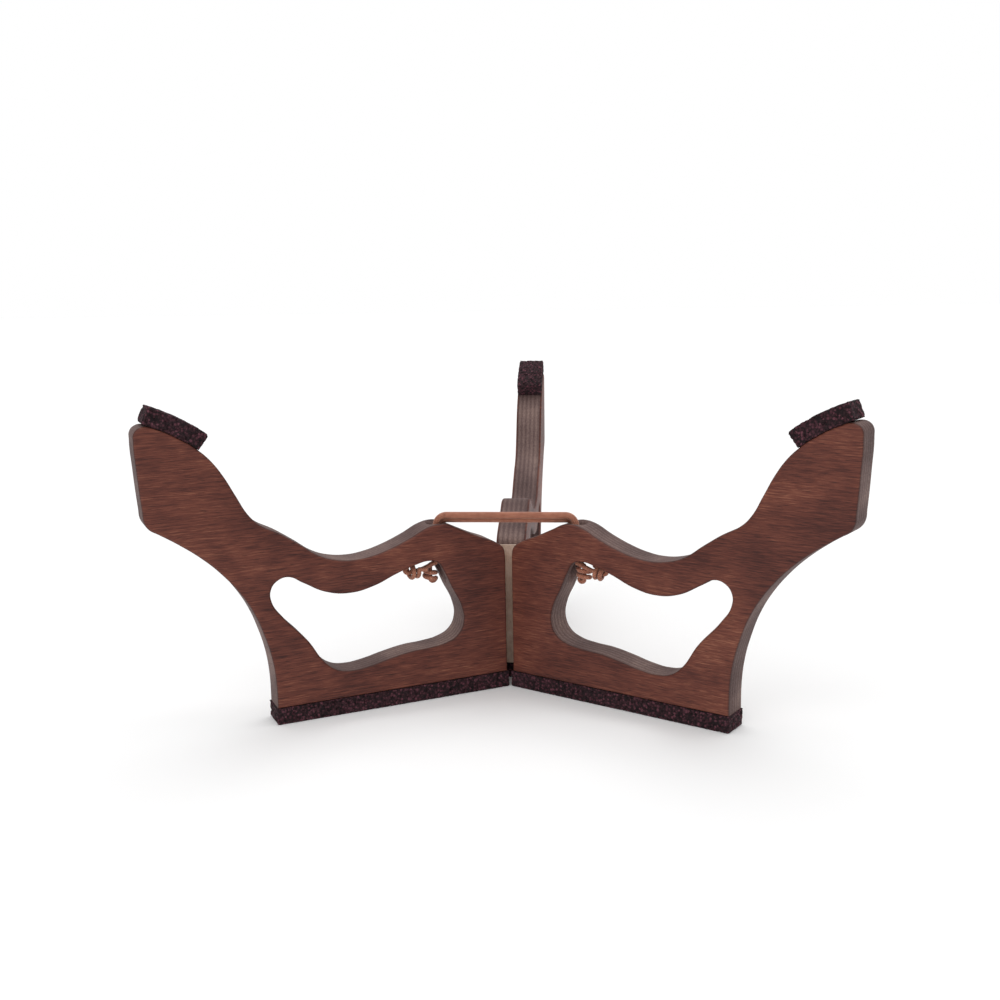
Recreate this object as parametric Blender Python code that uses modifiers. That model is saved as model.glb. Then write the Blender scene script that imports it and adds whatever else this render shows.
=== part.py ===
"""Folding wooden stand for a handpan: three plywood legs on a leather hinge, held open by cords.

Units are metres, +Z is up and the stand opens towards -Y. Each leg is drawn once, in its own
plane: r runs outwards from the upright centre line of the stand and z runs up from the floor.
"""
import math

import bmesh
import bpy
from mathutils import Matrix, Vector

MM = 0.001

# Driving dimensions
PLY = 18.0 * MM               # thickness of the legs
RUBBER = 9.3 * MM             # thickness of foot strips and rest pads
GAP = 0.3 * MM                # glue line between parts that touch
INNER_R = 6.8 * MM            # centre line to the inner end of each leg
INNER_TOP = 80.0 * MM         # the upright inner end is straight up to here
FOOT_R = 146.3 * MM           # centre line to the outer end of each foot
WING_R = 212.9 * MM           # centre line to the tip of each wing
HUMP_Z = 103.7 * MM           # height of the hump over the floor
BOARD_Z = RUBBER + GAP        # lower edge of the plywood
EDGE_ROUND = 1.6 * MM         # rounding along the plywood's edges
RUBBER_ROUND = 0.6 * MM       # worn edges of the rubber
STRIP_OVERHANG = 0.8 * MM     # foot strip beyond the plywood at its outer end
STRIP_INNER_R = 5.6 * MM      # the foot strips reach further in, so they all but meet

LEATHER = 1.2 * MM            # thickness of the hinge strip
LEATHER_FLAT = 8.0 * MM       # the strip lies flat on a leg's end this far to each side
LEATHER_TOP = 83.5 * MM       # height of the hinge strip's upper edge
LEATHER_REACH = 4.0 * MM      # the strip stops this far past the middle of each front leg's end

CORD_D = 4.2 * MM             # braided elastic cord
CORD_HOLE_R = 5.0 * MM        # upright hole through each front hump
CORD_HOLE_AT = 46.5 * MM      # centre line to the hole
CORD_HOLE_FLARE = 1.5 * MM    # countersink at the hole's mouth
HOLE_MOUTH_Z = HUMP_Z - 1.0 * MM  # the hump has fallen away by this much round the hole
DRILL_TOP_Z = HUMP_Z + 6.0 * MM
DRILL_TIP_Z = 62.0 * MM       # the drill comes out in the handle opening
CORD_BEND = 6.0 * MM          # centreline radius where a cord leaves the hole
CORD_END_Z = 80.0 * MM        # where a cord meets its knot
CORD_UPRIGHT_Z = 88.0 * MM    # a cord runs straight up inside its hole to here
HOLE_PITCH = 2.3 * MM         # each cord beside the hole's axis
SPAN_PITCH = 1.65 * MM        # each cord beside the span's middle line
UPPER_CORD_Z = 107.7 * MM
LOWER_CORD_Z = 104.8 * MM

KNOT_CORD_R = 1.4 * MM        # the cord is pulled thin where it is knotted
KNOT_WRAP_R = 3.3 * MM        # centreline radius of the wrap round the standing part
KNOT_TURNS = 1.75
KNOT_PITCH = 3.3 * MM         # rise of the wrap in one turn
KNOT_NOSE = 2.4 * MM          # the standing part past the wrap, before it turns back
KNOT_LEAD = 1.5 * MM          # the tail's first run out of the wrap
HANGING_KNOT = (50.6 * MM, 2.0 * MM, 78.0 * MM)   # its top: r, side and z in the leg
HANGING_TAIL = 2.0 * MM
LYING_KNOT = (57.0 * MM, 0.4 * MM, 76.4 * MM)
LYING_SLOPE = -0.12           # the lying knot falls by this share of its length
LYING_TAIL = 5.0 * MM

# Directions of the legs, in degrees from +X
LEG_ANGLE = {"left": 210.0, "right": 330.0, "back": 90.0}

# The box round the stand is centred on the origin, so its centre line stands forward of it
FRONT_REACH = (WING_R - EDGE_ROUND) * 0.5 + (PLY / 2 - EDGE_ROUND) * math.cos(math.radians(30)) + EDGE_ROUND
CENTRE_Y = -(WING_R - FRONT_REACH) / 2
CENTRE = Vector((0.0, CENTRE_Y, 0.0))

# Upper edge of the leg below the rest pad, in mm: the pad lies along these points
SEAT_LINE = [(180.7, 156.3), (185.1, 159.8), (189.4, 162.5), (195.0, 165.8), (201.1, 168.6)]
PAD_TIP = (208.4, 171.8)      # lower outer corner of the pad, past the wing's rounded tip

# Outline of a leg in mm, from the inner end over hump, valley and wing to the foot
LEG_OUTLINE = [
    (7.9, 85.4), (12.2, 89.0), (25.0, 94.6), (36.0, 99.8), (42.5, 102.9),
    (48.0, 103.7), (54.8, 102.5), (66.0, 97.2), (78.0, 92.5), (89.0, 89.6), (99.0, 88.6),
    (110.0, 89.9), (119.0, 93.2), (130.0, 100.9), (140.5, 107.9), (151.0, 113.8),
    (156.6, 119.6), (162.6, 130.4), (168.6, 141.6), (174.6, 150.2),
] + SEAT_LINE + [
    (206.0, 170.2), (209.8, 169.6), (212.4, 167.0), (212.9, 162.5), (212.3, 147.0),
    (210.9, 126.0), (210.3, 120.3), (208.0, 116.6), (203.8, 113.9), (193.5, 107.1), (182.0, 98.2),
    (172.8, 89.2), (163.4, 77.3), (156.6, 65.4), (151.6, 52.0), (148.2, 39.0), (146.5, 25.0),
]

# Outline of the handle opening in mm, from the peak under the hump outwards
HANDLE_OUTLINE = [
    (54.5, 82.7), (64.5, 80.9), (75.0, 77.4), (88.0, 72.3), (102.0, 69.9), (116.0, 72.2),
    (129.0, 79.1), (136.5, 83.1), (142.6, 81.9), (146.6, 77.2), (146.5, 70.2), (141.0, 61.3),
    (127.5, 45.8), (118.3, 31.9), (111.5, 26.6), (103.0, 24.9), (92.0, 25.9), (80.0, 28.5),
    (67.0, 30.7), (55.0, 31.4), (45.0, 33.0), (37.8, 36.8), (34.2, 44.0), (35.2, 53.0),
    (41.0, 65.3), (46.0, 76.2), (49.3, 81.2),
]


def clear_scene():
    for old in list(bpy.data.objects):
        bpy.data.objects.remove(old)


def new_collection(name):
    group = bpy.data.collections.new(name)
    bpy.context.scene.collection.children.link(group)
    return group


def new_material(name, colour, roughness, metallic=0.0):
    material = bpy.data.materials.new(name)
    material.use_nodes = True
    shader = material.node_tree.nodes["Principled BSDF"]
    shader.inputs["Base Color"].default_value = (*colour, 1.0)
    shader.inputs["Roughness"].default_value = roughness
    shader.inputs["Metallic"].default_value = metallic
    material.diffuse_color = (*colour, 1.0)
    return material


def smooth(mesh, sharp_degrees=35.0):
    mesh.shade_smooth()
    mesh.set_sharp_from_angle(angle=math.radians(sharp_degrees))


def in_leg(r, side, z):
    """Point of a leg's own frame: r outwards, side across the plywood, z up, all in metres."""
    return Vector((r, side, z))


def leg_to_world(name, point):
    turn = Matrix.Rotation(math.radians(LEG_ANGLE[name]), 3, "Z")
    return CENTRE + turn @ point


def hinge_point(name):
    """Middle of the gap between the inner corners of a front leg and of the back leg."""
    side = -1.0 if name == "left" else 1.0
    own = leg_to_world(name, in_leg(INNER_R, side * PLY / 2, 0.0))
    other = leg_to_world("back", in_leg(INNER_R, -side * PLY / 2, 0.0))
    return (own + other) / 2


def new_axis(name, at, group):
    """Empty on a joint's axis, which carries every part of that leg."""
    empty = bpy.data.objects.new(name, None)
    empty.empty_display_size = 0.03
    empty.location = at
    group.objects.link(empty)
    return empty


def mount_on_leg(part, name, axis):
    """Places a part that was drawn in its leg's frame, and hangs it on the leg's axis."""
    part.parent = axis
    part.location = CENTRE - axis.location
    part.rotation_euler = (0.0, 0.0, math.radians(LEG_ANGLE[name]))


def flat_curve(name, outlines, half_thickness, edge_round):
    """Filled 2D curve; each outline is a kind, BEZIER or POLY, and its points in metres."""
    data = bpy.data.curves.new(name, "CURVE")
    data.dimensions = "2D"
    data.fill_mode = "BOTH"
    data.resolution_u = 3
    data.extrude = half_thickness - edge_round
    data.bevel_depth = edge_round
    data.bevel_resolution = 1
    data.offset = -edge_round
    for kind, points in outlines:
        spline = data.splines.new(kind)
        spline.use_cyclic_u = True
        if kind == "POLY":
            spline.points.add(len(points) - 1)
            for knot, (x, y) in zip(spline.points, points):
                knot.co = (x, y, 0.0, 1.0)
        else:
            spline.bezier_points.add(len(points) - 1)
            for knot, (x, y, handle) in zip(spline.bezier_points, points):
                knot.co = (x, y, 0.0)
                knot.handle_left_type = handle
                knot.handle_right_type = handle
    return bpy.data.objects.new(name, data)


def curve_to_mesh(curve, group):
    """Replaces a curve object by a mesh of the same name whose caps are welded on."""
    name = curve.name
    group.objects.link(curve)
    bpy.context.view_layer.update()
    evaluated = curve.evaluated_get(bpy.context.evaluated_depsgraph_get())
    mesh = bpy.data.meshes.new_from_object(evaluated)
    place = curve.matrix_world.copy()
    bpy.data.objects.remove(curve)
    weld = bmesh.new()
    weld.from_mesh(mesh)
    bmesh.ops.remove_doubles(weld, verts=weld.verts, dist=0.01 * MM)
    bmesh.ops.dissolve_degenerate(weld, edges=weld.edges, dist=0.01 * MM)
    bmesh.ops.recalc_face_normals(weld, faces=weld.faces)
    weld.to_mesh(mesh)
    weld.free()
    solid = bpy.data.objects.new(name, mesh)
    solid.matrix_world = place
    group.objects.link(solid)
    return solid


def stand_upright(part):
    """Turns a drawing in X and Y into the leg's r and z."""
    part.data.transform(Matrix.Rotation(math.radians(90), 4, "X"))


def make_leg_panel(name, group, cutters, material, drilled):
    outer = [(INNER_R, BOARD_Z, "VECTOR"), (INNER_R, INNER_TOP, "VECTOR")]
    outer += [(r * MM, z * MM, "AUTO") for r, z in LEG_OUTLINE]
    outer += [(FOOT_R, BOARD_Z, "VECTOR")]
    handle = [(r * MM, z * MM, "AUTO") for r, z in HANDLE_OUTLINE]
    outlines = [("BEZIER", outer), ("BEZIER", handle)]
    panel = curve_to_mesh(flat_curve(f"{name}_leg_panel", outlines, PLY / 2, EDGE_ROUND), group)
    stand_upright(panel)
    if drilled:
        drill_cord_hole(panel, cutters)
    smooth(panel.data)
    panel.data.materials.append(material)
    return panel


def turned_cutter(name, profile, group, steps=24):
    """Closed turned solid from a profile of radius and height, listed from top to bottom."""
    mesh = bpy.data.meshes.new(name)
    mesh.from_pydata([(r, 0.0, z) for r, z in profile], [(i, i + 1) for i in range(len(profile) - 1)], [])
    cutter = bpy.data.objects.new(name, mesh)
    group.objects.link(cutter)
    screw = cutter.modifiers.new("turn", "SCREW")
    screw.axis = "Z"
    screw.steps = steps
    screw.render_steps = steps
    screw.use_merge_vertices = True
    screw.merge_threshold = 0.01 * MM
    cutter.hide_render = True
    cutter.display_type = "WIRE"
    return cutter


def drill_cord_hole(panel, cutters):
    flare_r = CORD_HOLE_R + (DRILL_TOP_Z - HOLE_MOUTH_Z) + CORD_HOLE_FLARE
    profile = [
        (0.0, DRILL_TOP_Z), (flare_r, DRILL_TOP_Z), (CORD_HOLE_R, HOLE_MOUTH_Z - CORD_HOLE_FLARE),
        (CORD_HOLE_R, DRILL_TIP_Z), (0.0, DRILL_TIP_Z),
    ]
    cutter = turned_cutter(f"{panel.name}_drill", profile, cutters)
    cutter.location = (CORD_HOLE_AT, 0.0, 0.0)
    drill = panel.modifiers.new("cord hole", "BOOLEAN")
    drill.operation = "DIFFERENCE"
    drill.solver = "EXACT"
    drill.object = cutter
    cutter.parent = panel


def make_foot_strip(name, group, material):
    """Rubber under the whole lower edge of a leg, drawn in plan and extruded upwards."""
    inner, outer = STRIP_INNER_R, FOOT_R + STRIP_OVERHANG
    plan = [(inner, -PLY / 2), (outer, -PLY / 2), (outer, PLY / 2), (inner, PLY / 2)]
    strip = curve_to_mesh(flat_curve(f"{name}_foot_strip", [("POLY", plan)], RUBBER / 2, RUBBER_ROUND), group)
    strip.data.transform(Matrix.Translation((0.0, 0.0, RUBBER / 2)))
    smooth(strip.data)
    strip.data.materials.append(material)
    return strip


def seat_points(offset):
    """The seat line moved square to itself by an offset in metres."""
    line = [Vector(p) * MM for p in SEAT_LINE + [PAD_TIP]]
    moved = []
    for i, point in enumerate(line):
        before = line[max(i - 1, 0)]
        after = line[min(i + 1, len(line) - 1)]
        along = (after - before).normalized()
        moved.append(point + Vector((-along.y, along.x)) * offset)
    return moved


def make_rest_pad(name, group, material):
    lower = seat_points(GAP)
    upper = seat_points(GAP + RUBBER)
    side = [(p.x, p.y) for p in lower + upper[::-1]]
    pad = curve_to_mesh(flat_curve(f"{name}_rest_pad", [("POLY", side)], PLY / 2, RUBBER_ROUND), group)
    stand_upright(pad)
    smooth(pad.data)
    pad.data.materials.append(material)
    return pad


def hinge_centreline():
    """Middle line of the leather in plan: along three inner ends, with a bend at both rear gaps."""
    reach = INNER_R - GAP - LEATHER / 2
    line = [leg_to_world("left", in_leg(reach, LEATHER_REACH, 0.0))]
    for near, far in (("left", "back"), ("back", "right")):
        start = leg_to_world(near, in_leg(reach, -LEATHER_FLAT, 0.0))
        end = leg_to_world(far, in_leg(reach, LEATHER_FLAT, 0.0))
        into = (leg_to_world(near, in_leg(reach, -PLY, 0.0)) - start).normalized()
        bend_r = (end - start).length / math.sqrt(3.0)
        centre = start + Vector((into.y, -into.x, 0.0)) * bend_r
        for step in range(7):
            turn = Matrix.Rotation(-math.radians(120.0 * step / 6), 3, "Z")
            line.append(centre + turn @ (start - centre))
    line.append(leg_to_world("right", in_leg(reach, -LEATHER_REACH, 0.0)))
    return line


def make_hinge_strip(group, material):
    line = hinge_centreline()
    one_side, other_side = [], []
    for i, point in enumerate(line):
        along = line[min(i + 1, len(line) - 1)] - line[max(i - 1, 0)]
        square = Vector((-along.y, along.x, 0.0)).normalized() * LEATHER / 2
        one_side.append(point + square)
        other_side.append(point - square)
    plan = [(p.x, p.y) for p in one_side + other_side[::-1]]
    height = LEATHER_TOP - BOARD_Z
    curve = flat_curve("hinge_strip", [("POLY", plan)], height / 2, 0.0)
    curve.location = (0.0, 0.0, BOARD_Z + height / 2)
    strip = curve_to_mesh(curve, group)
    smooth(strip.data)
    strip.data.materials.append(material)
    return strip


def tube(name, points, radius, group, material):
    """Round cord along points, as a curve with filled caps."""
    data = bpy.data.curves.new(name, "CURVE")
    data.dimensions = "3D"
    data.bevel_depth = radius
    data.bevel_resolution = 2
    data.use_fill_caps = True
    spline = data.splines.new("POLY")
    spline.points.add(len(points) - 1)
    for knot, point in zip(spline.points, points):
        knot.co = (*point, 1.0)
    data.materials.append(material)
    part = bpy.data.objects.new(name, data)
    group.objects.link(part)
    return part


def cord_points(level, forward):
    """Right half and left half of a cord: up out of a hole, over its lip and straight across.

    level is the height of the span and forward is -1 for the front cord, 1 for the rear one.
    """
    hole = leg_to_world("right", in_leg(CORD_HOLE_AT, 0.0, 0.0))
    in_hole = Vector((hole.x, hole.y + forward * HOLE_PITCH, 0.0))
    span_y = hole.y + forward * SPAN_PITCH
    half = [in_hole + Vector((0.0, 0.0, z)) for z in (CORD_END_Z + GAP, CORD_UPRIGHT_Z)]
    steps = 6
    for i in range(steps + 1):
        turn = math.radians(90.0 * i / steps)
        share = i / steps
        half.append(Vector((
            in_hole.x - CORD_BEND * (1.0 - math.cos(turn)),
            in_hole.y + (span_y - in_hole.y) * share,
            level - CORD_BEND * (1.0 - math.sin(turn)),
        )))
    straight = half[-1].x
    count = 4
    half += [Vector((straight * (1.0 - (i + 1) / count), span_y, level)) for i in range(count)]
    mirrored = [Vector((-p.x, p.y, p.z)) for p in half[:-1]]
    return half + mirrored[::-1]


def knot_points(top, down, tail_towards, tail_length):
    """Stopper knot: the standing part runs down, turns back and wraps round itself.

    top is where the cord enters, down the direction of the standing part, and the tail leaves
    towards the given side.
    """
    down = down.normalized()
    side = (tail_towards - tail_towards.dot(down) * down).normalized()
    third = down.cross(side)
    wrap_rise = KNOT_TURNS * KNOT_PITCH
    core = wrap_rise + KNOT_NOSE
    points = [top, top + down * core * 0.5, top + down * core]
    for i in range(1, 6):
        turn = math.pi * i / 6
        sideways = KNOT_WRAP_R / 2 * (1.0 - math.cos(turn))
        deeper = KNOT_WRAP_R / 2 * math.sin(turn)
        points.append(top + down * (core + deeper) - side * sideways)
    steps = round(KNOT_TURNS * 14)
    for i in range(steps + 1):
        turn = math.pi + 2 * math.pi * KNOT_TURNS * i / steps
        around = side * math.cos(turn) + third * math.sin(turn)
        points.append(top + down * (core - wrap_rise * i / steps) + around * KNOT_WRAP_R)
    leaving = (points[-1] - points[-2]).normalized()
    points.append(points[-1] + leaving * KNOT_LEAD)
    points.append(points[-1] + (leaving + side).normalized() * tail_length)
    return points


def make_knots(name, axis, group, material):
    """One knot hangs below the hole, the other lies outwards under the ceiling of the handle."""
    mirror = 1.0 if name == "left" else -1.0
    r, side, z = HANGING_KNOT
    hanging = knot_points(
        in_leg(r, -mirror * side, z), Vector((0.0, 0.0, -1.0)), Vector((1.0, 0.0, 0.0)), HANGING_TAIL,
    )
    r, side, z = LYING_KNOT
    lying = knot_points(
        in_leg(r, mirror * side, z), Vector((1.0, 0.0, LYING_SLOPE)), Vector((1.0, 0.0, -1.0)), LYING_TAIL,
    )
    for label, points in (("lower", hanging), ("upper", lying)):
        knot = tube(f"{name}_{label}_knot", points, KNOT_CORD_R, group, material)
        mount_on_leg(knot, name, axis)


def make_leg(name, axis, group, cutters, materials):
    front = name != "back"
    parts = [
        make_leg_panel(name, group, cutters, materials["plywood"], drilled=front),
        make_foot_strip(name, group, materials["rubber"]),
        make_rest_pad(name, group, materials["rubber"]),
    ]
    for part in parts:
        mount_on_leg(part, name, axis)
    if front:
        make_knots(name, axis, group, materials["cord"])


def build():
    clear_scene()
    group = new_collection("handpan_stand")
    cutters = new_collection("cutters")
    materials = {
        "plywood": new_material("stained_plywood", (0.098, 0.030, 0.020), 0.45),
        "rubber": new_material("crumb_rubber", (0.028, 0.016, 0.018), 0.9),
        "leather": new_material("natural_leather", (0.72, 0.56, 0.46), 0.6),
        "cord": new_material("braided_cord", (0.38, 0.13, 0.08), 0.7),
    }
    axes = {
        "left": new_axis("left_fold_axis", hinge_point("left"), group),
        "right": new_axis("right_fold_axis", hinge_point("right"), group),
        "back": new_axis("stand_centre", CENTRE, group),
    }
    for name in LEG_ANGLE:
        make_leg(name, axes[name], group, cutters, materials)
    make_hinge_strip(group, materials["leather"])
    tube("upper_cord", cord_points(UPPER_CORD_Z, -1.0), CORD_D / 2, group, materials["cord"])
    tube("lower_cord", cord_points(LOWER_CORD_Z, 1.0), CORD_D / 2, group, materials["cord"])
    for name in ("left", "right"):
        print(name, "hinge axis", [round(v, 5) for v in hinge_point(name)])


build()
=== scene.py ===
"""Looks of the folding handpan stand: stained plywood, rubber crumb, leather and braided cord."""

import math

import bmesh
import bpy
from mathutils import Matrix, Vector, noise


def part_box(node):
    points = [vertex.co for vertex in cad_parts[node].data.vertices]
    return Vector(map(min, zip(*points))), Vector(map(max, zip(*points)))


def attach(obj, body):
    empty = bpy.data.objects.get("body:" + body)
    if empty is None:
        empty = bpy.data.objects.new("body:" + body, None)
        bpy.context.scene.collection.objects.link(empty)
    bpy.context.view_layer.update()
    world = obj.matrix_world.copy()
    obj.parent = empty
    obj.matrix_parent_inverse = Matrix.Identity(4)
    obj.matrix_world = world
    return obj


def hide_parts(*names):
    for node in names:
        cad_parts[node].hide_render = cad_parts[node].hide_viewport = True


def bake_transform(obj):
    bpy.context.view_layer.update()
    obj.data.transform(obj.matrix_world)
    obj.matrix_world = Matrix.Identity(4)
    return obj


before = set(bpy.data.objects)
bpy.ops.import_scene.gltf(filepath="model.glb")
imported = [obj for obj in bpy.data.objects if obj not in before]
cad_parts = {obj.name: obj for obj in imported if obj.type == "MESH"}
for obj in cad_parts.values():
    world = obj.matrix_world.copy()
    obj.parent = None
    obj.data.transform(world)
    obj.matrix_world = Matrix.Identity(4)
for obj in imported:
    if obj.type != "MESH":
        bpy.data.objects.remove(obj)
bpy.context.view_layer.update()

MM = 0.001

# Boards
PLY = 18.0 * MM               # thickness of the legs
GAP = 0.3 * MM                # glue line between parts that touch
INNER_R = 6.8 * MM            # centre line to the inner end of each leg
INNER_TOP = 80.0 * MM         # the upright inner end is straight up to here
FOOT_R = 146.3 * MM           # centre line to the outer end of each foot
BOARD_Z = 9.6 * MM            # lower edge of the plywood
HUMP_Z = 103.7 * MM           # height of the hump over the floor
EDGE_ROUND = 1.6 * MM         # rounding along the plywood's edges
PLY_LAYER = 1.5 * MM          # thickness of one light or dark layer of the plywood
EDGE_ENDS = 7.8 * MM          # middle of the board to where its cut edge begins to give way
FACE_STARTS = 8.4 * MM        # to the stained face
PAINTED_SHADE_LINE = 8.0 * MM          # and to the line of painted shade on the rounded edge between them
PAINTED_SHADE_HALF = 0.7 * MM     # reach of that painted shade to each side
WELD = 0.005 * MM             # merge distance for the board's faces and rounded edge

# Rubber
STRIP_INNER_R = 5.6 * MM      # centre line to the inner end of each foot strip
CRUMB = 0.75 * MM             # step of the fine mesh that the crumb is cut into
GRAIN_SCALE = 420.0           # coarse unevenness, in noise cells a metre
PIT_SCALE = 640.0             # pits between the crumbs
PIT_SHIFT = Vector((7.0, 3.0, 1.0))
PIT_LEVEL = 0.12              # only noise over this level makes a pit
WORN_DEPTH = 0.16             # mean depth of the surface below the solid's, in mm
GRAIN_DEPTH = 0.30
PIT_DEPTH = 2.2
TREAD_Z = 0.6 * MM            # below this the rubber is pressed flat by the floor
TREAD_SHARE = 0.25            # and keeps this share of its unevenness
PADS_ABOVE = 0.1              # rest pads lie above this height, foot strips below it
SEAT_FACING = 0.6             # faces that look this squarely at the board are glued to it
GLUE_SHARE = 0.9              # and fill this share of the glue line

# Leather hinge
LEATHER = 1.2 * MM            # thickness of the hinge strip
LEATHER_FLAT = 8.0 * MM       # the strip lies flat on a leg's end this far to each side
LEATHER_REACH = 4.0 * MM      # the strip stops this far past the middle of each front leg's end
LEATHER_TOP = 83.5 * MM       # height of the hinge strip's upper edge
LEATHER_ROWS = 60             # mesh rows up the strip
LEATHER_STEPS = 12            # mesh steps along its flat end, and round its bend
LEATHER_ROUGH = 0.10 * MM
LEATHER_ROUGH_SCALE = 500.0

# Cords and their holes
CORD_D = 4.2 * MM             # braided elastic cord
CORD_HOLE_R = 5.0 * MM        # upright hole through each front hump
CORD_HOLE_AT = 46.5 * MM      # centre line to the hole
CORD_HOLE_FLARE = 1.5 * MM    # countersink at the hole's mouth
HOLE_MOUTH_Z = HUMP_Z - 1.0 * MM  # the hump has fallen away by this much round the hole
HOLE_LIP = 0.5 * MM           # the countersink's lower rim is worn round by this much
HOLE_THROAT = 0.8 * MM        # and runs out this far below it
HOLE_SIDES = 48
DRILL_TOP_Z = HUMP_Z + 6.0 * MM
DRILL_TIP_Z = 62.0 * MM       # the drill comes out in the handle opening
CORD_BEND = 6.0 * MM          # centreline radius where a cord leaves the hole
CORD_BEND_STEPS = 12
CORD_END_Z = 80.3 * MM        # lower end of each cord, inside its hole
CORD_UPRIGHT_Z = 88.0 * MM    # a cord runs straight up inside its hole to here
HOLE_PITCH = 2.3 * MM         # each cord beside the hole's axis
SPAN_PITCH = 1.65 * MM        # each cord beside the span's middle line
UPPER_CORD_Z = 107.7 * MM
LOWER_CORD_Z = 104.8 * MM

# Braid: strands cross at a constant rate along the cord
BRAID_PITCH = 4.6             # length of one strand's turn, in radii of the cord
BRAID_VALLEY = 0.80           # surface between the strands, as a share of the radius
BRAID_RISE = 0.20             # height of a strand over it
UNDER = 0.6                   # a strand's crown halfway between over and under
OVER = 0.4                    # what passing over adds to it
WEFT = 0.9                    # the strands of one hand lie a little lower

# Knots
KNOT_CORD_R = 1.4 * MM        # the cord is pulled thin where it is knotted
KNOT_WRAP_R = 3.3 * MM        # centreline radius of the wrap round the standing part
KNOT_TURNS = 1.75
KNOT_PITCH = 3.3 * MM         # rise of the wrap in one turn
KNOT_TURN_STEPS = 28          # mesh steps in one turn of the wrap
KNOT_NOSE = 2.4 * MM          # the standing part past the wrap, before it turns back
KNOT_NOSE_STEPS = 12          # mesh steps round that turn
KNOT_LEAD = 1.5 * MM          # the tail's first run out of the wrap
HANGING_KNOT = (50.6 * MM, 2.0 * MM, 78.0 * MM)   # its top: r, side and z in the leg
HANGING_TAIL = 2.0 * MM
LYING_KNOT = (57.0 * MM, 0.4 * MM, 76.4 * MM)
LYING_SLOPE = -0.12           # the lying knot falls by this share of its length
LYING_TAIL = 5.0 * MM

# Camera and light
CAMERA_PLACE = Vector((0.06232, -0.68618, 0.24078))   # from the foot of the stand's centre line
CAMERA_HEADING = 5.642        # degrees to the left of +Y
CAMERA_DOWN = 10.587          # degrees below the horizon
CAMERA_ROLL = -1.008
SENSOR_WIDTH = 36.0
FOCAL_LENGTH = 42.57
FLOOR_HALF = 8.0
FLOOR_WHITE = 0.93
SKY_ON_OBJECT = 0.62          # strength of the white surroundings as light
SKY_SEEN = 1.0                # and as the background that the camera sees

# Directions of the legs, in degrees from +X
LEG_ANGLE = {"left": 210.0, "right": 330.0, "back": 90.0}
# Shifts of the grain, so that no two boards are alike
GRAIN_SEED = {"left": 0.37, "right": 1.91, "back": 3.13}
# The inner end of the back leg's foot strip gives the stand's centre line
CENTRE = Vector((0.0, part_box("back_foot_strip")[0].y - STRIP_INNER_R, 0.0))

# Outline of a leg in mm, from the inner end over hump, valley and wing to the foot
LEG_OUTLINE = [
    (7.9, 85.4), (12.2, 89.0), (25.0, 94.6), (36.0, 99.8), (42.5, 102.9),
    (48.0, 103.7), (54.8, 102.5), (66.0, 97.2), (78.0, 92.5), (89.0, 89.6), (99.0, 88.6),
    (110.0, 89.9), (119.0, 93.2), (130.0, 100.9), (140.5, 107.9), (151.0, 113.8),
    (156.6, 119.6), (162.6, 130.4), (168.6, 141.6), (174.6, 150.2),
    (180.7, 156.3), (185.1, 159.8), (189.4, 162.5), (195.0, 165.8), (201.1, 168.6),
    (206.0, 170.2), (209.8, 169.6), (212.4, 167.0), (212.9, 162.5), (212.3, 147.0),
    (210.9, 126.0), (210.3, 120.3), (208.0, 116.6), (203.8, 113.9), (193.5, 107.1), (182.0, 98.2),
    (172.8, 89.2), (163.4, 77.3), (156.6, 65.4), (151.6, 52.0), (148.2, 39.0), (146.5, 25.0),
]

# Outline of the handle opening in mm, from the peak under the hump outwards
HANDLE_OUTLINE = [
    (54.5, 82.7), (64.5, 80.9), (75.0, 77.4), (88.0, 72.3), (102.0, 69.9), (116.0, 72.2),
    (129.0, 79.1), (136.5, 83.1), (142.6, 81.9), (146.6, 77.2), (146.5, 70.2), (141.0, 61.3),
    (127.5, 45.8), (118.3, 31.9), (111.5, 26.6), (103.0, 24.9), (92.0, 25.9), (80.0, 28.5),
    (67.0, 30.7), (55.0, 31.4), (45.0, 33.0), (37.8, 36.8), (34.2, 44.0), (35.2, 53.0),
    (41.0, 65.3), (46.0, 76.2), (49.3, 81.2),
]


def leg_to_world(name, point):
    """Point of a leg's own frame (r outwards, side across the board, z up) in the stand's frame."""
    return CENTRE + Matrix.Rotation(math.radians(LEG_ANGLE[name]), 3, "Z") @ Vector(point)


def add_camera():
    """Camera at the photograph's viewing angle."""
    data = bpy.data.cameras.new("camera")
    data.sensor_width = SENSOR_WIDTH
    data.lens = FOCAL_LENGTH
    camera = bpy.data.objects.new("camera", data)
    camera.location = CENTRE + CAMERA_PLACE
    turn = Matrix.Rotation(math.radians(CAMERA_HEADING), 3, "Z")
    turn = turn @ Matrix.Rotation(math.radians(90.0 - CAMERA_DOWN), 3, "X")
    turn = turn @ Matrix.Rotation(math.radians(CAMERA_ROLL), 3, "Z")
    camera.rotation_euler = turn.to_euler()
    bpy.context.scene.collection.objects.link(camera)
    bpy.context.scene.camera = camera


def add_sun(name, come_from, spread_degrees, strength):
    """Very soft light from a direction, the same all over the floor."""
    data = bpy.data.lights.new(name, "SUN")
    data.angle = math.radians(spread_degrees)
    data.energy = strength
    light = bpy.data.objects.new(name, data)
    light.rotation_euler = (-Vector(come_from)).to_track_quat("-Z", "Y").to_euler()
    bpy.context.scene.collection.objects.link(light)


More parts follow.
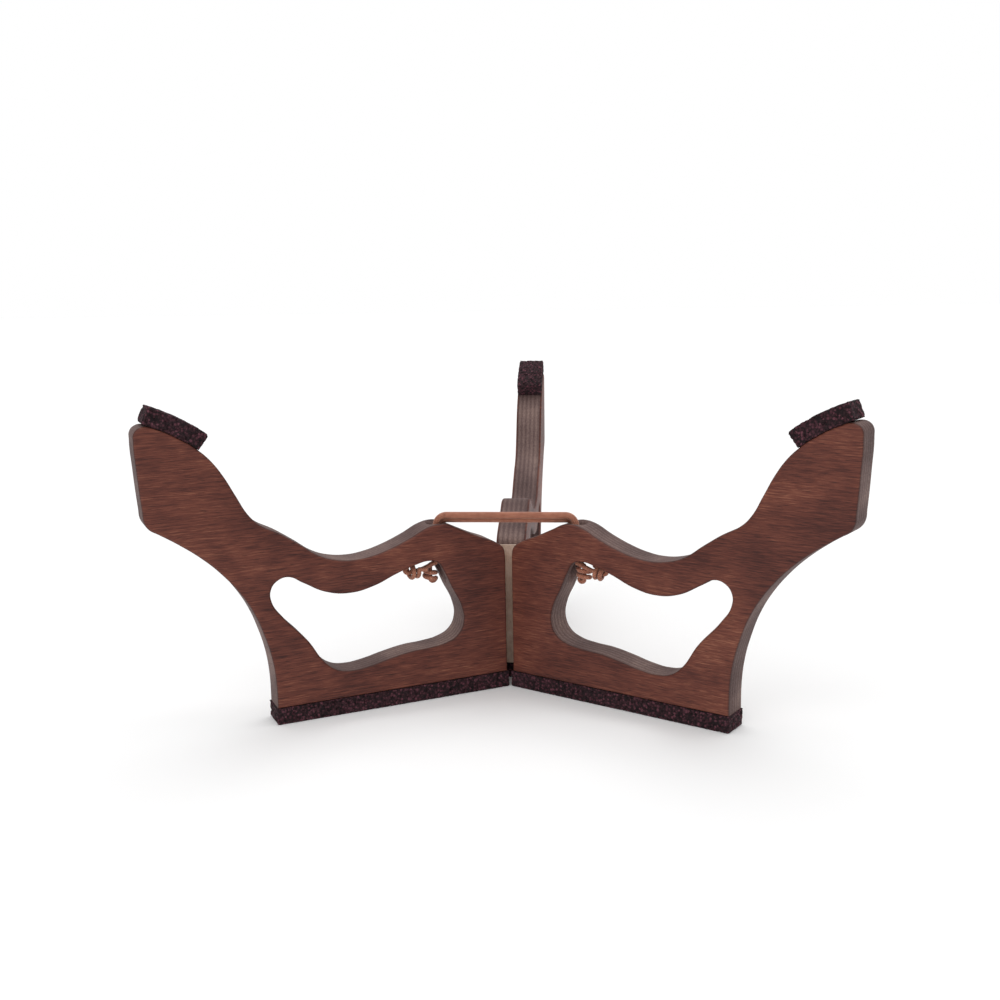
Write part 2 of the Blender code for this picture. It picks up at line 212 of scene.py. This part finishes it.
class Nodes:
    """A material's node tree with short ways to add nodes and links."""

    def __init__(self, name):
        self.material = bpy.data.materials.new(name)
        self.material.use_nodes = True
        self.tree = self.material.node_tree
        self.shader = self.tree.nodes["Principled BSDF"]

    def add(self, kind, **settings):
        node = self.tree.nodes.new(kind)
        for key, value in settings.items():
            setattr(node, key, value)
        return node

    def link(self, source, target):
        self.tree.links.new(source, target)

    def fill(self, socket, value):
        if isinstance(value, bpy.types.NodeSocket):
            self.link(value, socket)
        else:
            socket.default_value = value

    def object_point(self):
        return self.add("ShaderNodeTexCoord").outputs["Object"]

    def mapped(self, point, scale, offset=(0.0, 0.0, 0.0)):
        node = self.add("ShaderNodeMapping")
        node.inputs["Scale"].default_value = scale
        node.inputs["Location"].default_value = offset
        self.link(point, node.inputs["Vector"])
        return node.outputs["Vector"]

    def noise(self, point, scale, detail=3.0, roughness=0.5, distortion=0.0):
        node = self.add("ShaderNodeTexNoise")
        node.inputs["Scale"].default_value = scale
        node.inputs["Detail"].default_value = detail
        node.inputs["Roughness"].default_value = roughness
        node.inputs["Distortion"].default_value = distortion
        self.link(point, node.inputs["Vector"])
        return node.outputs["Fac"]

    def cells(self, point, scale, output="Distance"):
        node = self.add("ShaderNodeTexVoronoi")
        node.inputs["Scale"].default_value = scale
        self.link(point, node.inputs["Vector"])
        return node.outputs[output]

    def math(self, operation, first, second=0.0, third=0.0):
        node = self.add("ShaderNodeMath", operation=operation)
        for socket, value in zip(node.inputs, (first, second, third)):
            self.fill(socket, value)
        return node.outputs[0]

    def remap(self, value, low, high, to_low=0.0, to_high=1.0):
        node = self.add("ShaderNodeMapRange")
        self.fill(node.inputs["Value"], value)
        for key, number in (("From Min", low), ("From Max", high), ("To Min", to_low), ("To Max", to_high)):
            node.inputs[key].default_value = number
        return node.outputs[0]

    def ramp(self, value, *stops):
        node = self.add("ShaderNodeValToRGB")
        elements = node.color_ramp.elements
        while len(elements) < len(stops):
            elements.new(0.5)
        for element, (place, colour) in zip(elements, stops):
            element.position = place
            element.color = (*colour, 1.0)
        self.link(value, node.inputs["Fac"])
        return node.outputs["Color"]

    def mix(self, share, first, second):
        """Blend of two colours, each a socket or a constant."""
        node = self.add("ShaderNodeMix", data_type="RGBA")
        self.fill(node.inputs["Factor"], share)
        for key, value in ((6, first), (7, second)):
            if isinstance(value, tuple):
                node.inputs[key].default_value = (*value, 1.0)
            else:
                self.link(value, node.inputs[key])
        return node.outputs[2]

    def bump(self, height, distance, strength=1.0):
        node = self.add("ShaderNodeBump")
        node.inputs["Distance"].default_value = distance
        node.inputs["Strength"].default_value = strength
        self.link(height, node.inputs["Height"])
        return node.outputs["Normal"]

    def finish(self, colour, roughness, normal):
        self.link(colour, self.shader.inputs["Base Color"])
        self.fill(self.shader.inputs["Roughness"], roughness)
        self.link(normal, self.shader.inputs["Normal"])
        return self.material


def plywood_material(name, seed):
    """Red-brown stain on the faces, ply layers on the edges, and a thin line of painted shade on the
    rounded edge between them.

    leg_point holds r, side and z in metres. Noise is scaled little along r and much along z, which
    draws it out into grain that runs outwards along the leg.
    """
    n = Nodes(name)
    leg_point = n.add("ShaderNodeAttribute", attribute_name="leg_point").outputs["Vector"]
    point = n.mapped(leg_point, (1.0, 1.0, 1.0), (seed, seed * 2.0, seed * 3.0))
    axes = n.add("ShaderNodeSeparateXYZ")
    n.link(leg_point, axes.inputs[0])
    side = n.math("ABSOLUTE", axes.outputs["Y"])

    # Stained faces: broad figure, grain, fine fibres, clouds of stain and dark pores
    figure = n.noise(n.mapped(point, (7.0, 1.0, 22.0)), 1.0, 2.0, 0.5, 0.6)
    bands = n.math("SINE", n.math("MULTIPLY", figure, 46.0))
    grain = n.noise(n.mapped(point, (34.0, 1.0, 1300.0)), 1.0, 4.0, 0.65)
    fibre = n.noise(n.mapped(point, (130.0, 1.0, 2400.0)), 1.0, 3.0, 0.6)
    cloud = n.noise(point, 16.0, 3.0, 0.55)
    tone = n.math("MULTIPLY_ADD", bands, 0.035, n.math("MULTIPLY_ADD", grain, 0.55, 0.225))
    tone = n.math("MULTIPLY_ADD", n.math("SUBTRACT", fibre, 0.5), 0.85, tone)
    tone = n.math("MULTIPLY_ADD", n.math("SUBTRACT", cloud, 0.5), 0.75, tone)
    face = n.ramp(
        tone, (0.22, (0.040, 0.0115, 0.0095)), (0.42, (0.092, 0.0255, 0.0180)),
        (0.60, (0.150, 0.044, 0.0280)), (0.84, (0.29, 0.112, 0.066)),
    )
    pores = n.noise(n.mapped(point, (150.0, 1.0, 3200.0), (3.0, 0.0, 5.0)), 1.0, 1.0)
    face = n.mix(n.remap(pores, 0.64, 0.72, 0.0, 0.75), face, (0.022, 0.008, 0.007))

    # Cut edges: layers across the board's thickness, with flecks and smeared stain
    wander = n.noise(n.mapped(point, (60.0, 200.0, 60.0)), 1.0, 3.0)
    layer = n.math("MULTIPLY_ADD", wander, 0.35, n.math("MULTIPLY", axes.outputs["Y"], 1.0 / PLY_LAYER))
    stripe = n.math("SINE", n.math("MULTIPLY", layer, math.pi))
    fleck = n.noise(n.mapped(point, (900.0, 1800.0, 900.0)), 1.0, 3.0, 0.7)
    smear = n.noise(n.mapped(point, (45.0, 30.0, 45.0)), 1.0, 2.0)
    edge_tone = n.math("MULTIPLY_ADD", fleck, 0.5, n.math("MULTIPLY", smear, 0.5))
    edge_tone = n.math("MULTIPLY_ADD", stripe, 0.050, edge_tone)
    edge = n.ramp(
        edge_tone, (0.32, (0.055, 0.031, 0.029)), (0.48, (0.110, 0.067, 0.062)),
        (0.60, (0.175, 0.115, 0.102)), (0.78, (0.34, 0.230, 0.190)),
    )

    # Face or edge, with a thin line of painted shade on the rounded edge where they meet
    where = n.remap(n.math("MULTIPLY_ADD", fleck, 0.6 * MM, side), EDGE_ENDS, FACE_STARTS)
    off_line = n.math("ABSOLUTE", n.math("SUBTRACT", side, PAINTED_SHADE_LINE))
    line = n.remap(off_line, 0.0, PAINTED_SHADE_HALF, 0.55, 0.0)
    colour = n.mix(line, n.mix(where, edge, face), (0.018, 0.008, 0.007))
    height = n.math("MULTIPLY_ADD", fibre, 0.4, n.math("MULTIPLY_ADD", pores, -0.5, grain))
    height = n.math("MULTIPLY_ADD", stripe, n.math("MULTIPLY_ADD", where, -0.15, 0.15), height)
    gloss = n.math("MULTIPLY_ADD", grain, 0.18, n.math("MULTIPLY_ADD", where, -0.18, 0.60))
    n.shader.inputs["Specular IOR Level"].default_value = 0.22
    return n.finish(colour, gloss, n.bump(height, 0.22 * MM))


def rubber_material():
    """Bound rubber crumb: dark grains, some of them maroon, with pits between them that are darkened with
    painted shade.
    """
    n = Nodes("rubber_crumb")
    point = n.object_point()
    grain_colour = n.cells(point, 800.0, "Color")
    pick = n.add("ShaderNodeSeparateColor")
    n.link(grain_colour, pick.inputs[0])
    base = n.ramp(
        pick.outputs[0], (0.0, (0.010, 0.004, 0.0055)), (0.40, (0.028, 0.0085, 0.0115)),
        (0.72, (0.062, 0.018, 0.026)), (0.95, (0.130, 0.042, 0.058)),
    )
    patches = n.noise(point, 60.0, 3.0)
    base = n.mix(n.remap(patches, 0.48, 0.75, 0.0, 0.4), base, (0.075, 0.030, 0.042))
    pits = n.cells(point, 800.0)
    crumbs = n.cells(point, 1300.0)
    # Painted shade: the colour goes nearly black towards the sunken pits between the crumbs
    dark = n.remap(pits, 0.35, 0.75, 0.0, 0.7)
    colour = n.mix(dark, base, (0.007, 0.005, 0.006))
    height = n.math("MULTIPLY_ADD", crumbs, -0.4, n.math("MULTIPLY", pits, -1.0))
    n.shader.inputs["Specular IOR Level"].default_value = 0.25
    return n.finish(colour, n.remap(pits, 0.0, 0.8, 0.62, 0.95), n.bump(height, 0.7 * MM, 0.9))


def leather_material():
    """Undyed split leather with a fine pebbled grain."""
    n = Nodes("natural_leather")
    point = n.object_point()
    cloud = n.noise(point, 70.0, 4.0)
    fibre = n.noise(n.mapped(point, (900.0, 900.0, 300.0)), 1.0, 4.0, 0.7)
    tone = n.math("MULTIPLY_ADD", fibre, 0.5, n.math("MULTIPLY", cloud, 0.5))
    colour = n.ramp(
        tone, (0.30, (0.46, 0.31, 0.23)), (0.50, (0.66, 0.50, 0.40)), (0.70, (0.80, 0.67, 0.57)),
    )
    pebble = n.cells(point, 1500.0)
    height = n.math("MULTIPLY_ADD", pebble, -0.6, fibre)
    return n.finish(colour, n.remap(fibre, 0.3, 0.7, 0.55, 0.8), n.bump(height, 0.2 * MM))


def cord_material():
    """Terracotta yarn, lighter on the strands' crowns as painted highlight and darker in the valleys
    between them as painted shade.
    """
    n = Nodes("braided_cord")
    point = n.object_point()
    crown = n.add("ShaderNodeAttribute", attribute_name="crown").outputs["Fac"]
    yarn = n.noise(n.mapped(point, (2600.0, 2600.0, 2600.0)), 1.0, 3.0, 0.7)
    patch = n.noise(point, 420.0, 2.0)
    tone = n.math("MULTIPLY_ADD", yarn, 0.2, n.math("MULTIPLY", patch, 0.25))
    # Painted highlight and shade: the crowns of the strands are lighter, the valleys between them near
    # black
    tone = n.math("MULTIPLY_ADD", crown, 0.62, tone)
    colour = n.ramp(
        tone, (0.20, (0.040, 0.010, 0.006)), (0.38, (0.24, 0.066, 0.033)),
        (0.58, (0.46, 0.175, 0.100)), (0.80, (0.78, 0.48, 0.34)),
    )
    n.shader.inputs["Sheen Weight"].default_value = 0.25
    return n.finish(colour, n.remap(yarn, 0.3, 0.7, 0.6, 0.85), n.bump(yarn, 0.15 * MM))


def new_piece(name, mesh, material):
    piece = bpy.data.objects.new(name, mesh)
    bpy.context.scene.collection.objects.link(piece)
    mesh.materials.clear()
    mesh.materials.append(material)
    return piece


def smooth(mesh, degrees):
    mesh.shade_smooth()
    mesh.set_sharp_from_angle(angle=math.radians(degrees))


def evaluated_mesh(thing):
    bpy.context.view_layer.update()
    return bpy.data.meshes.new_from_object(thing.evaluated_get(bpy.context.evaluated_depsgraph_get()))


def new_mesh(name, shape):
    """Mesh from a bmesh whose faces are all turned outwards."""
    bmesh.ops.recalc_face_normals(shape, faces=shape.faces)
    mesh = bpy.data.meshes.new(name)
    shape.to_mesh(mesh)
    shape.free()
    return mesh


def skin_rings(shape, rings):
    """Joins rings of vertices into a tube and closes both of its ends."""
    for lower, upper in zip(rings, rings[1:]):
        for k in range(len(lower)):
            j = (k + 1) % len(lower)
            shape.faces.new((lower[k], lower[j], upper[j], upper[k]))
    shape.faces.new(rings[0][::-1])
    shape.faces.new(rings[-1])


def add_spline(data, points):
    spline = data.splines.new("BEZIER")
    spline.use_cyclic_u = True
    spline.bezier_points.add(len(points) - 1)
    for knot, (x, y, handle) in zip(spline.bezier_points, points):
        knot.co = (x, y, 0.0)
        knot.handle_left_type = handle
        knot.handle_right_type = handle


def panel_mesh():
    """A leg's board in its own frame, with finely rounded edges, still without the cord's hole."""
    data = bpy.data.curves.new("panel_curve", "CURVE")
    data.dimensions = "2D"
    data.fill_mode = "BOTH"
    data.resolution_u = 8
    data.extrude = PLY / 2 - EDGE_ROUND
    data.bevel_depth = EDGE_ROUND
    data.bevel_resolution = 4
    data.offset = -EDGE_ROUND
    outer = [(INNER_R, BOARD_Z, "VECTOR"), (INNER_R, INNER_TOP, "VECTOR")]
    outer += [(r * MM, z * MM, "AUTO") for r, z in LEG_OUTLINE]
    outer += [(FOOT_R, BOARD_Z, "VECTOR")]
    add_spline(data, outer)
    add_spline(data, [(r * MM, z * MM, "AUTO") for r, z in HANDLE_OUTLINE])
    curve = bpy.data.objects.new("panel_curve", data)
    bpy.context.scene.collection.objects.link(curve)
    mesh = evaluated_mesh(curve)
    bpy.data.objects.remove(curve)
    weld = bmesh.new()
    weld.from_mesh(mesh)
    bmesh.ops.remove_doubles(weld, verts=weld.verts, dist=WELD)
    bmesh.ops.recalc_face_normals(weld, faces=weld.faces)
    weld.to_mesh(mesh)
    weld.free()
    mesh.transform(Matrix.Rotation(math.radians(90), 4, "X"))
    return mesh


def drill(mesh):
    """Cuts the upright hole for the cords, with its worn mouth, out of a front leg's hump."""
    throat_z = HOLE_MOUTH_Z - CORD_HOLE_FLARE
    profile = [
        (CORD_HOLE_R + (DRILL_TOP_Z - HOLE_MOUTH_Z) + CORD_HOLE_FLARE, DRILL_TOP_Z),
        (CORD_HOLE_R + HOLE_LIP, throat_z + HOLE_LIP),
        (CORD_HOLE_R, throat_z - HOLE_THROAT), (CORD_HOLE_R, DRILL_TIP_Z),
    ]
    shape = bmesh.new()
    rings = []
    for radius, z in profile:
        ring = []
        for i in range(HOLE_SIDES):
            turn = 2 * math.pi * i / HOLE_SIDES
            place = (CORD_HOLE_AT + radius * math.cos(turn), radius * math.sin(turn), z)
            ring.append(shape.verts.new(place))
        rings.append(ring)
    skin_rings(shape, rings)
    cutter = bpy.data.objects.new("drill", new_mesh("drill", shape))
    body = bpy.data.objects.new("board", mesh)
    for thing in (body, cutter):
        bpy.context.scene.collection.objects.link(thing)
    cut = body.modifiers.new("hole", "BOOLEAN")
    cut.operation = "DIFFERENCE"
    cut.solver = "EXACT"
    cut.object = cutter
    drilled = evaluated_mesh(body)
    bpy.data.objects.remove(cutter)
    bpy.data.objects.remove(body)
    return drilled


def make_panel(name):
    mesh = panel_mesh()
    if name != "back":
        mesh = drill(mesh)
    smooth(mesh, 40)
    places = [c for vertex in mesh.vertices for c in vertex.co]
    mesh.attributes.new("leg_point", "FLOAT_VECTOR", "POINT").data.foreach_set("vector", places)
    turn = Matrix.Rotation(math.radians(LEG_ANGLE[name]), 4, "Z")
    mesh.transform(Matrix.Translation(CENTRE) @ turn)
    wood = plywood_material(f"stained_plywood_{name}", GRAIN_SEED[name])
    piece = new_piece(f"{name}_board", mesh, wood)
    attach(piece, f"{name}_leg")
    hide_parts(f"{name}_leg_panel")


def crumb_depth(place):
    """How far the crumbly surface lies below the solid's."""
    grain = noise.noise(place * GRAIN_SCALE)
    pit = max(0.0, noise.noise(place * PIT_SCALE + PIT_SHIFT) - PIT_LEVEL)
    depth = (WORN_DEPTH + GRAIN_DEPTH * grain + PIT_DEPTH * pit) * MM
    if place.z < TREAD_Z:
        depth *= TREAD_SHARE
    return max(depth, 0.0)


def make_rubber(node, body, material):
    """Crumbly copy of a rubber solid: remeshed finely, then pitted inwards grain by grain."""
    source = bpy.data.objects.new(f"{node}_source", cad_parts[node].data.copy())
    bpy.context.scene.collection.objects.link(source)
    remesh = source.modifiers.new("fine", "REMESH")
    remesh.mode = "VOXEL"
    remesh.voxel_size = CRUMB
    mesh = evaluated_mesh(source)
    bpy.data.objects.remove(source)
    moved = []
    for vertex in mesh.vertices:
        facing_board = -vertex.normal.z if vertex.co.z > PADS_ABOVE else vertex.normal.z
        if facing_board > SEAT_FACING:
            moved.append(vertex.co + vertex.normal * GLUE_SHARE * GAP)
        else:
            moved.append(vertex.co - vertex.normal * crumb_depth(vertex.co))
    for vertex, place in zip(mesh.vertices, moved):
        vertex.co = place
    mesh.shade_smooth()
    piece = new_piece(f"{node}_crumb", mesh, material)
    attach(piece, body)
    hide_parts(node)


def hinge_half():
    """Middle line of the leather in plan for its left half; the right half is its mirror image."""
    reach = INNER_R - GAP - LEATHER / 2
    first = leg_to_world("left", (reach, LEATHER_REACH, 0.0))
    start = leg_to_world("left", (reach, -LEATHER_FLAT, 0.0))
    end = leg_to_world("back", (reach, LEATHER_FLAT, 0.0))
    middle = leg_to_world("back", (reach, 0.0, 0.0))
    line = [first.lerp(start, i / LEATHER_STEPS) for i in range(LEATHER_STEPS)]
    into = (start - first).normalized()
    bend_r = (end - start).length / math.sqrt(3.0)
    centre = start + Vector((into.y, -into.x, 0.0)) * bend_r
    for step in range(LEATHER_STEPS + 1):
        turn = Matrix.Rotation(-math.radians(120.0 * step / LEATHER_STEPS), 3, "Z")
        line.append(centre + turn @ (start - centre))
    half_steps = LEATHER_STEPS // 2
    line += [end.lerp(middle, i / half_steps) for i in range(1, half_steps + 1)]
    return line, start, end


def leather_face(shape, line, face_side, mirror):
    """Columns of vertices up one face of the leather, which is a little rough."""
    columns = []
    for i, point in enumerate(line):
        along = line[min(i + 1, len(line) - 1)] - line[max(i - 1, 0)]
        square = Vector((-along.y, along.x, 0.0)).normalized()
        column = []
        for k in range(LEATHER_ROWS + 1):
            z = BOARD_Z + (LEATHER_TOP - BOARD_Z) * k / LEATHER_ROWS
            rough = LEATHER_ROUGH * noise.noise(Vector((point.x, point.y, z)) * LEATHER_ROUGH_SCALE)
            place = point + square * face_side * (LEATHER / 2 - abs(rough))
            column.append(shape.verts.new((place.x * mirror, place.y, z)))
        columns.append(column)
    return columns


def close_leather(shape, front, back):
    """Faces over both sides of the leather and round its four edges."""
    last = len(front) - 1
    for columns in (front, back):
        for i in range(last):
            near, far = columns[i], columns[i + 1]
            for k in range(LEATHER_ROWS):
                shape.faces.new((near[k], far[k], far[k + 1], near[k + 1]))
    for i in range(last):
        for k in (0, LEATHER_ROWS):
            shape.faces.new((front[i][k], front[i + 1][k], back[i + 1][k], back[i][k]))
    for i in (0, last):
        for k in range(LEATHER_ROWS):
            shape.faces.new((front[i][k], front[i][k + 1], back[i][k + 1], back[i][k]))


def make_hinge(material):
    """Two halves that meet on the back leg, each bent round one rear corner."""
    line, start, end = hinge_half()
    for name, mirror in (("left", 1.0), ("right", -1.0)):
        shape = bmesh.new()
        front = leather_face(shape, line, 1.0, mirror)
        back = leather_face(shape, line, -1.0, mirror)
        close_leather(shape, front, back)
        mesh = new_mesh(f"{name}_hinge_leather", shape)
        smooth(mesh, 50)
        piece = new_piece(f"{name}_hinge_leather", mesh, material)
        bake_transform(piece)
        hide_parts("hinge_strip")


def cord_half(level, forward):
    """Middle line of the right half of a cord, from below the hole to the middle of the span."""
    hole = leg_to_world("right", (CORD_HOLE_AT, 0.0, 0.0))
    in_hole = Vector((hole.x, hole.y + forward * HOLE_PITCH, 0.0))
    span_y = hole.y + forward * SPAN_PITCH
    half = [in_hole + Vector((0.0, 0.0, z)) for z in (CORD_END_Z, CORD_UPRIGHT_Z)]
    for i in range(CORD_BEND_STEPS + 1):
        turn = math.radians(90.0 * i / CORD_BEND_STEPS)
        half.append(Vector((
            in_hole.x - CORD_BEND * (1.0 - math.cos(turn)),
            in_hole.y + (span_y - in_hole.y) * i / CORD_BEND_STEPS,
            level - CORD_BEND * (1.0 - math.sin(turn)),
        )))
    half.append(Vector((0.0, span_y, level)))
    return half


def even_steps(points, step):
    """The same line with points at even steps, and the distance along it of each."""
    lengths = [0.0]
    for before, after in zip(points, points[1:]):
        lengths.append(lengths[-1] + (after - before).length)
    count = max(2, round(lengths[-1] / step))
    found = []
    span = 0
    for i in range(count + 1):
        place = lengths[-1] * i / count
        while span < len(points) - 2 and lengths[span + 1] < place:
            span += 1
        share = (place - lengths[span]) / (lengths[span + 1] - lengths[span])
        found.append((points[span].lerp(points[span + 1], share), place))
    return found


def braided_tube(name, points, radius, strands, step, sides):
    """Tube whose surface rises and falls like a braid: crossing strands pass over and under."""
    found = even_steps(points, step)
    shape = bmesh.new()
    rings = []
    crowns = []
    pitch = radius * BRAID_PITCH
    side = None
    for i, (point, place) in enumerate(found):
        after = found[min(i + 1, len(found) - 1)][0]
        before = found[max(i - 1, 0)][0]
        along = (after - before).normalized()
        if side is None:
            side = along.orthogonal().normalized()
        side = (side - along * side.dot(along)).normalized()
        up = along.cross(side)
        ring = []
        for k in range(sides):
            turn = 2 * math.pi * k / sides
            one = math.cos(strands / 2 * (turn + 2 * math.pi * place / pitch))
            other = math.cos(strands / 2 * (turn - 2 * math.pi * place / pitch))
            one_crown = one * one * (UNDER + OVER * other)
            other_crown = WEFT * other * other * (UNDER + OVER * one)
            crown = max(one_crown, other_crown)
            out = radius * (BRAID_VALLEY + BRAID_RISE * min(crown, 1.0))
            ring.append(shape.verts.new(point + (side * math.cos(turn) + up * math.sin(turn)) * out))
            crowns.append(crown)
        rings.append(ring)
    skin_rings(shape, rings)
    mesh = new_mesh(name, shape)
    # crown also drives the painted highlight and shade in the cord's colour
    mesh.attributes.new("crown", "FLOAT", "POINT").data.foreach_set("value", crowns)
    mesh.shade_smooth()
    return mesh


def make_cords(material):
    """Each cord is two halves, because each half crosses one joint."""
    for label, level, forward in (("upper", UPPER_CORD_Z, -1.0), ("lower", LOWER_CORD_Z, 1.0)):
        for name, mirror in (("right", 1.0), ("left", -1.0)):
            points = [Vector((p.x * mirror, p.y, p.z)) for p in cord_half(level, forward)]
            title = f"{label}_cord_{name}"
            mesh = braided_tube(title, points, CORD_D / 2, strands=16, step=0.2 * MM, sides=48)
            piece = new_piece(title, mesh, material)
            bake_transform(piece)
            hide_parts(f"{label}_cord")


def knot_points(top, down, tail_towards, tail_length):
    """Stopper knot: the standing part runs down, turns back and wraps round itself."""
    down = down.normalized()
    side = (tail_towards - tail_towards.dot(down) * down).normalized()
    third = down.cross(side)
    wrap_rise = KNOT_TURNS * KNOT_PITCH
    core = wrap_rise + KNOT_NOSE
    points = [top, top + down * core * 0.5, top + down * core]
    for i in range(1, KNOT_NOSE_STEPS):
        turn = math.pi * i / KNOT_NOSE_STEPS
        sideways = KNOT_WRAP_R / 2 * (1.0 - math.cos(turn))
        deeper = KNOT_WRAP_R / 2 * math.sin(turn)
        points.append(top + down * (core + deeper) - side * sideways)
    steps = round(KNOT_TURNS * KNOT_TURN_STEPS)
    for i in range(steps + 1):
        turn = math.pi + 2 * math.pi * KNOT_TURNS * i / steps
        around = side * math.cos(turn) + third * math.sin(turn)
        points.append(top + down * (core - wrap_rise * i / steps) + around * KNOT_WRAP_R)
    leaving = (points[-1] - points[-2]).normalized()
    points.append(points[-1] + leaving * KNOT_LEAD)
    points.append(points[-1] + (leaving + side).normalized() * tail_length)
    return points


def make_knots(material):
    """One knot hangs below each hole, the other lies outwards under the ceiling of the handle."""
    for name, mirror in (("left", 1.0), ("right", -1.0)):
        r, side, z = HANGING_KNOT
        hanging = knot_points(
            Vector((r, -mirror * side, z)), Vector((0.0, 0.0, -1.0)), Vector((1.0, 0.0, 0.0)), HANGING_TAIL,
        )
        r, side, z = LYING_KNOT
        lying = knot_points(
            Vector((r, mirror * side, z)), Vector((1.0, 0.0, LYING_SLOPE)), Vector((1.0, 0.0, -1.0)),
            LYING_TAIL,
        )
        turn = Matrix.Rotation(-math.radians(LEG_ANGLE[name]), 3, "Z")
        for label, points, forward in (("lower", hanging, 1.0), ("upper", lying, -1.0)):
            above = turn @ Vector((0.0, forward * HOLE_PITCH, 0.0))
            end = Vector((CORD_HOLE_AT, 0.0, CORD_END_Z)) + above
            lead = [end.lerp(points[0], k / 3) for k in range(3)]
            path = [leg_to_world(name, point) for point in lead + points]
            title = f"{name}_{label}_tied_knot"
            mesh = braided_tube(title, path, KNOT_CORD_R, strands=10, step=0.25 * MM, sides=30)
            piece = new_piece(title, mesh, material)
            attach(piece, f"{name}_leg")
            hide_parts(f"{name}_{label}_knot")


def make_floor():
    shape = bmesh.new()
    bmesh.ops.create_grid(shape, x_segments=1, y_segments=1, size=FLOOR_HALF)
    mesh = bpy.data.meshes.new("floor")
    shape.to_mesh(mesh)
    shape.free()
    floor = bpy.data.objects.new("floor", mesh)
    bpy.context.scene.collection.objects.link(floor)
    n = Nodes("pale_floor")
    n.shader.inputs["Base Color"].default_value = (FLOOR_WHITE, FLOOR_WHITE, FLOOR_WHITE, 1.0)
    n.shader.inputs["Roughness"].default_value = 0.9
    mesh.materials.append(n.material)


def make_light():
    """White surroundings that the camera sees brighter than they shine, and two soft suns."""
    world = bpy.data.worlds.new("studio")
    bpy.context.scene.world = world
    world.use_nodes = True
    tree = world.node_tree
    background = tree.nodes["Background"]
    rays = tree.nodes.new("ShaderNodeLightPath")
    seen = tree.nodes.new("ShaderNodeMath")
    seen.operation = "MAXIMUM"
    tree.links.new(rays.outputs["Is Camera Ray"], seen.inputs[0])
    tree.links.new(rays.outputs["Is Transmission Ray"], seen.inputs[1])
    strength = tree.nodes.new("ShaderNodeMapRange")
    strength.inputs["To Min"].default_value = SKY_ON_OBJECT
    strength.inputs["To Max"].default_value = SKY_SEEN
    tree.links.new(seen.outputs[0], strength.inputs["Value"])
    background.inputs["Color"].default_value = (1.0, 1.0, 1.0, 1.0)
    tree.links.new(strength.outputs[0], background.inputs["Strength"])
    add_sun("overhead", (0.10, 0.25, 1.0), 60.0, 1.25)
    add_sun("front", (-0.35, -1.0, 0.9), 50.0, 0.75)


add_camera()
make_floor()
make_light()
for leg in LEG_ANGLE:
    make_panel(leg)
crumb = rubber_material()
for leg in LEG_ANGLE:
    make_rubber(f"{leg}_foot_strip", f"{leg}_leg", crumb)
    make_rubber(f"{leg}_rest_pad", f"{leg}_leg", crumb)
make_hinge(leather_material())
braid = cord_material()
make_cords(braid)
make_knots(braid)
bpy.context.scene.view_settings.view_transform = "Standard"
